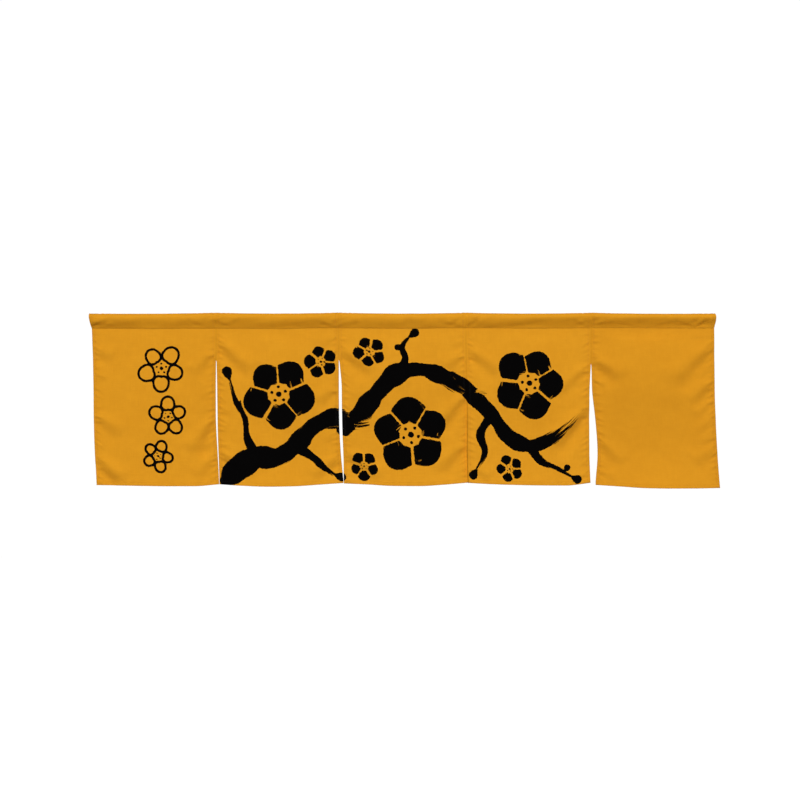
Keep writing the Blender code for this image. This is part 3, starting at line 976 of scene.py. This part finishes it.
def pocketLines():
    # Places along the pocket, close together beside each join and end
    lines = [row.seam for row in uprights]
    places = []
    for left, right in zip(lines, lines[1:]):
        inner = joinColumns[-1]
        count = round((right - left - 2 * inner) / pocketCloth["cell"])
        near = np.array((0.0, 0.1, 0.25, *joinColumns) if left == lines[0] else (0.0, *joinColumns))
        far = np.array((0.1, 0.25, *joinColumns) if right == lines[-1] else joinColumns)
        middle = left + inner + (right - left - 2 * inner) * np.arange(1, count) / count
        places += [left + near, middle, right - far[::-1]]
    return np.concatenate([*places, lines[-1:]])


def makePocket(material):
    # Two grids over the pocket's length and the way round its section, its outside and its inside
    x = pocketLines()
    length = sectionRun[-1]
    near = np.array(legRows)
    count = round((length - 2 * near[-1]) / pocketCloth["rowCell"])
    middle = near[-1] + (length - 2 * near[-1]) * np.arange(1, count) / count
    x, run = np.meshgrid(x, np.concatenate([near, middle, length - near[::-1]]))
    faces = {}
    for face in (1, -1):
        points, shade = pocketPoints(x, run, face)
        place = np.stack([(x - uprights[0].seam) * mm, run * mm, np.full_like(x, face)], axis=-1)
        # sewn: stitch and join lines (darkened partly as painted groove shade), and painted shade along the
        # edges
        faces[face] = {"points": points, "clothPlace": place, "sewn": shade}
    piece = closedSheet("rodPocket", faces[1], faces[-1], material)
    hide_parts("rod_pocket")
    print("rod pocket has", len(piece.data.polygons), "faces")
    return piece


def pocketStitching(material):
    # The seam that closes the pocket, in front and behind, and the stitches beside each join over the pocket
    v = pocketCloth
    length = sectionRun[-1]
    leftEnd, rightEnd = uprights[0].seam, uprights[-1].seam
    runs = []
    x = stitchStarts("seam", leftEnd, rightEnd)
    for at, side in ((v["stitchUp"], 1.0), (length - v["stitchUp"], -1.0)):
        starts = pocketPoints(x, np.full_like(x, at), 1)[0]
        ends = pocketPoints(x + thread["length"], np.full_like(x, at), 1)[0]
        runs.append((starts, ends, (0.0, -side, 0.0), 0.0))
    run = stitchStarts("join", 0.0, length)
    turn = np.interp(run + thread["length"] / 2, sectionRun, sectionTurn)
    section = pocketSection(np.zeros_like(run), turn)
    outward = np.stack([np.zeros_like(run), -section.outDepth, section.outZ], axis=-1)
    for row in uprights:
        for place in panelCloth["sideStitches"]:
            for at in (row.seam - place, row.seam + place):
                if leftEnd < at < rightEnd:
                    starts = pocketPoints(np.full_like(run, at), run, 1)[0]
                    ends = pocketPoints(np.full_like(run, at), run + thread["length"], 1)[0]
                    runs.append((starts, ends, outward, 0.0))
    return threadPiece("seamStitching", runs, material)


sectionRun, sectionTurn = sectionTurns()


# Materials
class Wire:
    # A node's output. Arithmetic on wires and numbers adds Math nodes.
    def __init__(self, finish, socket):
        self.finish, self.socket = finish, socket

    def math(self, operation, *values, clamp=False):
        sockets = dict(enumerate(values))
        return self.finish.node("ShaderNodeMath", {"operation": operation, "use_clamp": clamp}, sockets)

    def __add__(self, other):
        return self.math("ADD", self, other)

    __radd__ = __add__

    def __mul__(self, other):
        return self.math("MULTIPLY", self, other)

    __rmul__ = __mul__

    def __sub__(self, other):
        return self.math("SUBTRACT", self, other)

    def __rsub__(self, other):
        return self.math("SUBTRACT", other, self)

    def sin(self):
        return self.math("SINE", self)

    def size(self):
        return self.math("ABSOLUTE", self)

    def limited(self):
        return self.math("ADD", self, 0.0, clamp=True)

    def larger(self, other):
        return self.math("MAXIMUM", self, other)


class Finish:
    # A material's node tree
    def __init__(self, name):
        self.material = bpy.data.materials.new(name)
        self.material.use_nodes = True
        self.tree = self.material.node_tree
        self.tree.nodes.clear()

    def node(self, kind, settings=None, sockets=None, output=0):
        # Adds a node: its settings first, then the values or wires of its sockets, and gives one output
        made = self.tree.nodes.new(kind)
        for key, value in (settings or {}).items():
            setattr(made, key, value)
        for key, value in (sockets or {}).items():
            if isinstance(value, Wire):
                self.tree.links.new(value.socket, made.inputs[key])
            else:
                made.inputs[key].default_value = value
        return Wire(self, made.outputs[output]) if len(made.outputs) else made

    def parts(self, vector):
        # The three numbers of a vector
        split = self.node("ShaderNodeSeparateXYZ", sockets={0: vector})
        return [Wire(self, out) for out in split.socket.node.outputs]

    def attribute(self, name):
        return self.parts(self.node("ShaderNodeAttribute", {"attribute_name": name}, output="Vector"))

    def vector(self, x, y, z):
        return self.node("ShaderNodeCombineXYZ", sockets={0: x, 1: y, 2: z})

    def noise(self, vector, scale, detail=2.0, roughness=0.5):
        sockets = {"Vector": vector, "Scale": scale, "Detail": detail, "Roughness": roughness}
        return self.node("ShaderNodeTexNoise", {"noise_dimensions": "3D"}, sockets)

    def ramp(self, value, low, high):
        # 0 below low to 1 above high, smoothly
        sockets = {"Value": value, "From Min": low, "From Max": high}
        return self.node("ShaderNodeMapRange", {"interpolation_type": "SMOOTHSTEP"}, sockets)

    def mixed(self, factor, first, second):
        # The first colour where the factor is 0, the second where it is 1
        return self.node("ShaderNodeMix", {"data_type": "RGBA"}, {0: factor, 6: first, 7: second}, output=2)

    def surface(self, constants, wires):
        shader = self.node("ShaderNodeBsdfPrincipled", sockets={**constants, **wires})
        self.node("ShaderNodeOutputMaterial", sockets={"Surface": shader})
        return self.material


clothLook = {
    "panelColour": (0.75, 0.326, 0.0172, 1.0),
    # A little deeper than the panels' colour: painted shade for the pocket's doubled cloth, which lets less
    # light through
    "pocketShadedColour": (0.74, 0.318, 0.0150, 1.0),
    # The deeper colour of slubs, mottle and panel tones; along the stitch lines it is partly painted shade of
    # their grooves
    "deepColour": (0.60, 0.235, 0.010, 1.0),  # in the stitch lines and slubs
    "shadeColour": (0.05, 0.015, 0.002, 1.0),  # where a folded edge turns from the light
    "inkColour": (0.0012, 0.001, 0.001, 1.0),
    "threadColours": ((0.66, 0.275, 0.0155, 1.0), (0.54, 0.205, 0.0105, 1.0)),
    "threadPitch": 0.00062,  # metres from one thread of the weave to the next
    "slubScales": (1400.0, 22.0),  # across a thread and along it
    "mottleScale": 11.0,
    "cloudScale": 62.0,
    "fibreScale": 2600.0,
    "slubTint": 0.36,  # how far each goes towards the deeper colour
    "mottleTint": 0.14,
    "cloudTint": 0.17,
    "stitchTintAndShade": 0.22,
    "bristleScales": (170.0, 7.0),  # across a brush stroke and along it
    "biteScale": 110.0,  # ragged edges of the ink, and how far they wander in millimetres
    "bite": 5.0,
    "outlineBite": 3.0,
    "grainScale": 900.0,
    "inkBehind": 0.05,  # how much thinner the ink shows behind
    "roughness": 0.9,
    "sheen": 0.005,
    "specular": 0.01,
}


def clothFinish(name, colour, inked):
    # Plain weave: warp and weft ribs that pass over and under each other, slubs along both, a soft mottle,
    # stitch lines darkened partly as painted shade of their grooves, and painted shade along folded and
    # overlapping edges. The ink follows the brush's own flow where it runs dry.
    look = clothLook
    deep = look["deepColour"]
    f = Finish(name)
    across, down, side = f.attribute("clothPlace")
    # sewn holds the stitch lines, the panel's tone and the painted shade of folded and overlapping edges
    stitched, dye, shade = f.attribute("sewn")
    warp = (across * (math.pi / look["threadPitch"])).sin()
    weft = (down * (math.pi / look["threadPitch"])).sin()
    weave = warp * weft * 0.5 + (warp.size() + weft.size()) * 0.25
    fine, slow = look["slubScales"]
    warpSlub = f.noise(f.vector(across * fine, down * slow, side), 1.0)
    weftSlub = f.noise(f.vector(across * slow, down * fine, side), 1.0)
    slub = (warpSlub + weftSlub) * 0.5
    flat = f.vector(across, down, side * 0.3)
    mottle = f.ramp(f.noise(flat, look["mottleScale"], 3.0), 0.3, 0.7)
    cloud = f.ramp(f.noise(flat, look["cloudScale"], 2.0), 0.3, 0.7)
    fibre = f.noise(flat, look["fibreScale"], 1.0)
    tint = f.mixed(f.ramp(slub, 0.36, 0.64) * look["slubTint"], colour, deep)
    tint = f.mixed(mottle * look["mottleTint"] + cloud * look["cloudTint"], tint, deep)
    # Darker along the stitch and join lines: partly their own colour, partly painted shade of the grooves the
    # stitches pull in
    tint = f.mixed((stitched * look["stitchTintAndShade"] + dye).limited(), tint, deep)
    tint = f.mixed(shade, tint, look["shadeColour"])
    height = weave * 0.6 + slub * 0.5 + fibre * 0.25
    roughness = look["roughness"] - slub * 0.05
    if inked:
        inside, dryness, outline = f.attribute("ink")
        flowSide, flowAlong, _ = f.attribute("brushFlow")
        thin, long = look["bristleScales"]
        streak = f.noise(f.vector(flowSide * thin, flowAlong * long, 0.0), 1.0, 4.0, 0.65)
        bite = f.noise(flat, look["biteScale"], 4.0, 0.62) - 0.5
        grain = f.noise(flat, look["grainScale"], 1.0)
        solid = f.ramp(inside + bite * look["bite"] + (grain - 0.5), -0.5, 0.5)
        # Bare streaks open where the bristles' noise is low for how dry the brush is there
        dryEdge = dryness * 0.9 - inside * 0.012
        held = f.ramp(streak + grain * 0.12 - dryEdge * 0.62, 0.02, 0.12)
        line = f.ramp(artwork["line"] - outline.size() + bite * look["outlineBite"], -0.5, 0.5)
        ink = (solid * held).larger(line)
        through = 1.0 - (1.0 - side).limited() * look["inkBehind"]
        tint = f.mixed(ink * through, tint, look["inkColour"])
        roughness = roughness - ink * 0.06
    normal = f.node("ShaderNodeBump", sockets={"Height": height, "Distance": 0.00022, "Strength": 0.55})
    constants = {
        "Metallic": 0.0,
        "Specular IOR Level": look["specular"],
        "Sheen Weight": look["sheen"],
        "Sheen Roughness": 0.5,
    }
    return f.surface(constants, {"Base Color": tint, "Roughness": roughness, "Normal": normal})


def threadFinish():
    # Twisted thread: fine slanting bands of a darker ochre
    look = clothLook
    f = Finish("ochreThread")
    x, y, z = f.parts(f.node("ShaderNodeTexCoord", output="Object"))
    twist = ((x + z + y) * 9000.0).sin() * 0.5 + 0.5
    tint = f.mixed(twist * 0.5, *look["threadColours"])
    tint = f.mixed(f.attribute("inked")[0], tint, look["inkColour"])
    normal = f.node("ShaderNodeBump", sockets={"Height": twist, "Distance": 0.00008, "Strength": 0.5})
    constants = {"Roughness": 0.75, "Metallic": 0.0, "Specular IOR Level": 0.2}
    return f.surface(constants, {"Base Color": tint, "Normal": normal})


# Studio
studio = {
    "lens": 85.0,
    "sensor": 36.0,
    "frameWidth": 2.1873,  # width of the picture where the curtain hangs, in metres
    "aimX": -0.0094,  # the point of the curtain's plane that the camera looks at
    "aimZ": -0.2356,
    "floorDrop": 1.85,
    "floorReach": 14.0,
    "floorGlow": 1.3,
    "lampDistance": 20.0,
    "lampSize": 6.4,
    "keyElevation": 28.0,
    "keyTurn": -1.0,
    "keyPower": 3930.0,
    "backElevation": 26.0,
    "backTurn": 178.0,
    "backPower": 4200.0,
    "sideElevation": 6.0,
    "sideTurn": 66.0,
    "sidePower": 441.0,
    "ambient": 0.06,  # strength of the surroundings as light, and as the camera sees them
    "backdrop": 1.02,
}


def makeCamera():
    # Straight in front, as far off as the lens needs for the width of the picture
    data = bpy.data.cameras.new("camera")
    data.lens, data.sensor_width = studio["lens"], studio["sensor"]
    camera = bpy.data.objects.new("camera", data)
    distance = studio["frameWidth"] * studio["lens"] / studio["sensor"]
    camera.location = (studio["aimX"], -distance, studio["aimZ"])
    camera.rotation_euler = (math.radians(90.0), 0.0, 0.0)
    bpy.context.scene.collection.objects.link(camera)
    bpy.context.scene.camera = camera


def makeLamp(name, elevation, turn, power):
    # A broad square lamp that faces the middle of the curtain
    data = bpy.data.lights.new(name, "AREA")
    data.energy, data.size = power, studio["lampSize"]
    lamp = bpy.data.objects.new(name, data)
    up, around = math.radians(elevation), math.radians(turn)
    level = studio["lampDistance"] * math.cos(up)
    rise = studio["lampDistance"] * math.sin(up)
    lamp.location = (level * math.sin(around), -level * math.cos(around), studio["aimZ"] + rise)
    lamp.rotation_euler = (math.radians(90.0) - up, 0.0, around)
    bpy.context.scene.collection.objects.link(lamp)


def makeFloor():
    # A plain pale floor, far below the hanging curtain
    reach, z = studio["floorReach"], -studio["floorDrop"]
    side = np.linspace(-reach, reach, 9)
    x, y = np.meshgrid(side, side)
    points = np.stack([x, y, np.full_like(x, z)], axis=-1).reshape(-1, 3)
    faces = gridFaces(np.arange(x.size).reshape(x.shape), False)
    mesh = bpy.data.meshes.new("floor")
    mesh.from_pydata(points.tolist(), [], faces.tolist())
    f = Finish("paleFloor")
    place = f.node("ShaderNodeTexCoord", output="Object")
    speckle = f.noise(place, 3.0, 2.0)
    tint = f.mixed(speckle * 0.2, (0.95, 0.95, 0.95, 1.0), (0.93, 0.93, 0.93, 1.0))
    constants = {
        "Roughness": 0.9,
        "Specular IOR Level": 0.0,
        "Emission Color": (1.0, 1.0, 1.0, 1.0),
        "Emission Strength": studio["floorGlow"],
    }
    mesh.materials.append(f.surface(constants, {"Base Color": tint}))
    floor = bpy.data.objects.new("floor", mesh)
    floor.visible_diffuse = False
    bpy.context.scene.collection.objects.link(floor)


def makeWorld():
    # Soft white surroundings, brighter where the camera looks straight at them
    world = bpy.data.worlds.new("studio")
    world.use_nodes = True
    bpy.context.scene.world = world
    tree = world.node_tree
    background = tree.nodes["Background"]
    background.inputs["Color"].default_value = (1.0, 1.0, 1.0, 1.0)
    path = tree.nodes.new("ShaderNodeLightPath")
    strength = tree.nodes.new("ShaderNodeMapRange")
    strength.inputs["To Min"].default_value = studio["ambient"]
    strength.inputs["To Max"].default_value = studio["backdrop"]
    tree.links.new(path.outputs["Is Camera Ray"], strength.inputs["Value"])
    tree.links.new(strength.outputs[0], background.inputs["Strength"])


def makeStudio():
    bpy.context.scene.view_settings.view_transform = "Standard"
    makeCamera()
    makeFloor()
    makeWorld()
    makeLamp("keyLight", studio["keyElevation"], studio["keyTurn"], studio["keyPower"])
    makeLamp("backLight", studio["backElevation"], studio["backTurn"], studio["backPower"])
    makeLamp("leftLight", studio["sideElevation"], -studio["sideTurn"], studio["sidePower"])
    makeLamp("rightLight", studio["sideElevation"], studio["sideTurn"], studio["sidePower"])
    print("studio ready")


makeStudio()
inkedCloth = clothFinish("ochreCloth", clothLook["panelColour"], True)
# The pocket's colour is a slightly shaded copy of the panels': painted shade of its doubled cloth
pocketOchre = clothFinish("ochrePocketCloth", clothLook["pocketShadedColour"], False)
ochreThread = threadFinish()
for number in range(panelCount):
    panelPiece = makePanel(number, inkedCloth)
    hemThread = panelStitching(number, ochreThread)
pocketPiece = makePocket(pocketOchre)
seamThread = pocketStitching(ochreThread)
print("cloth and thread ready")
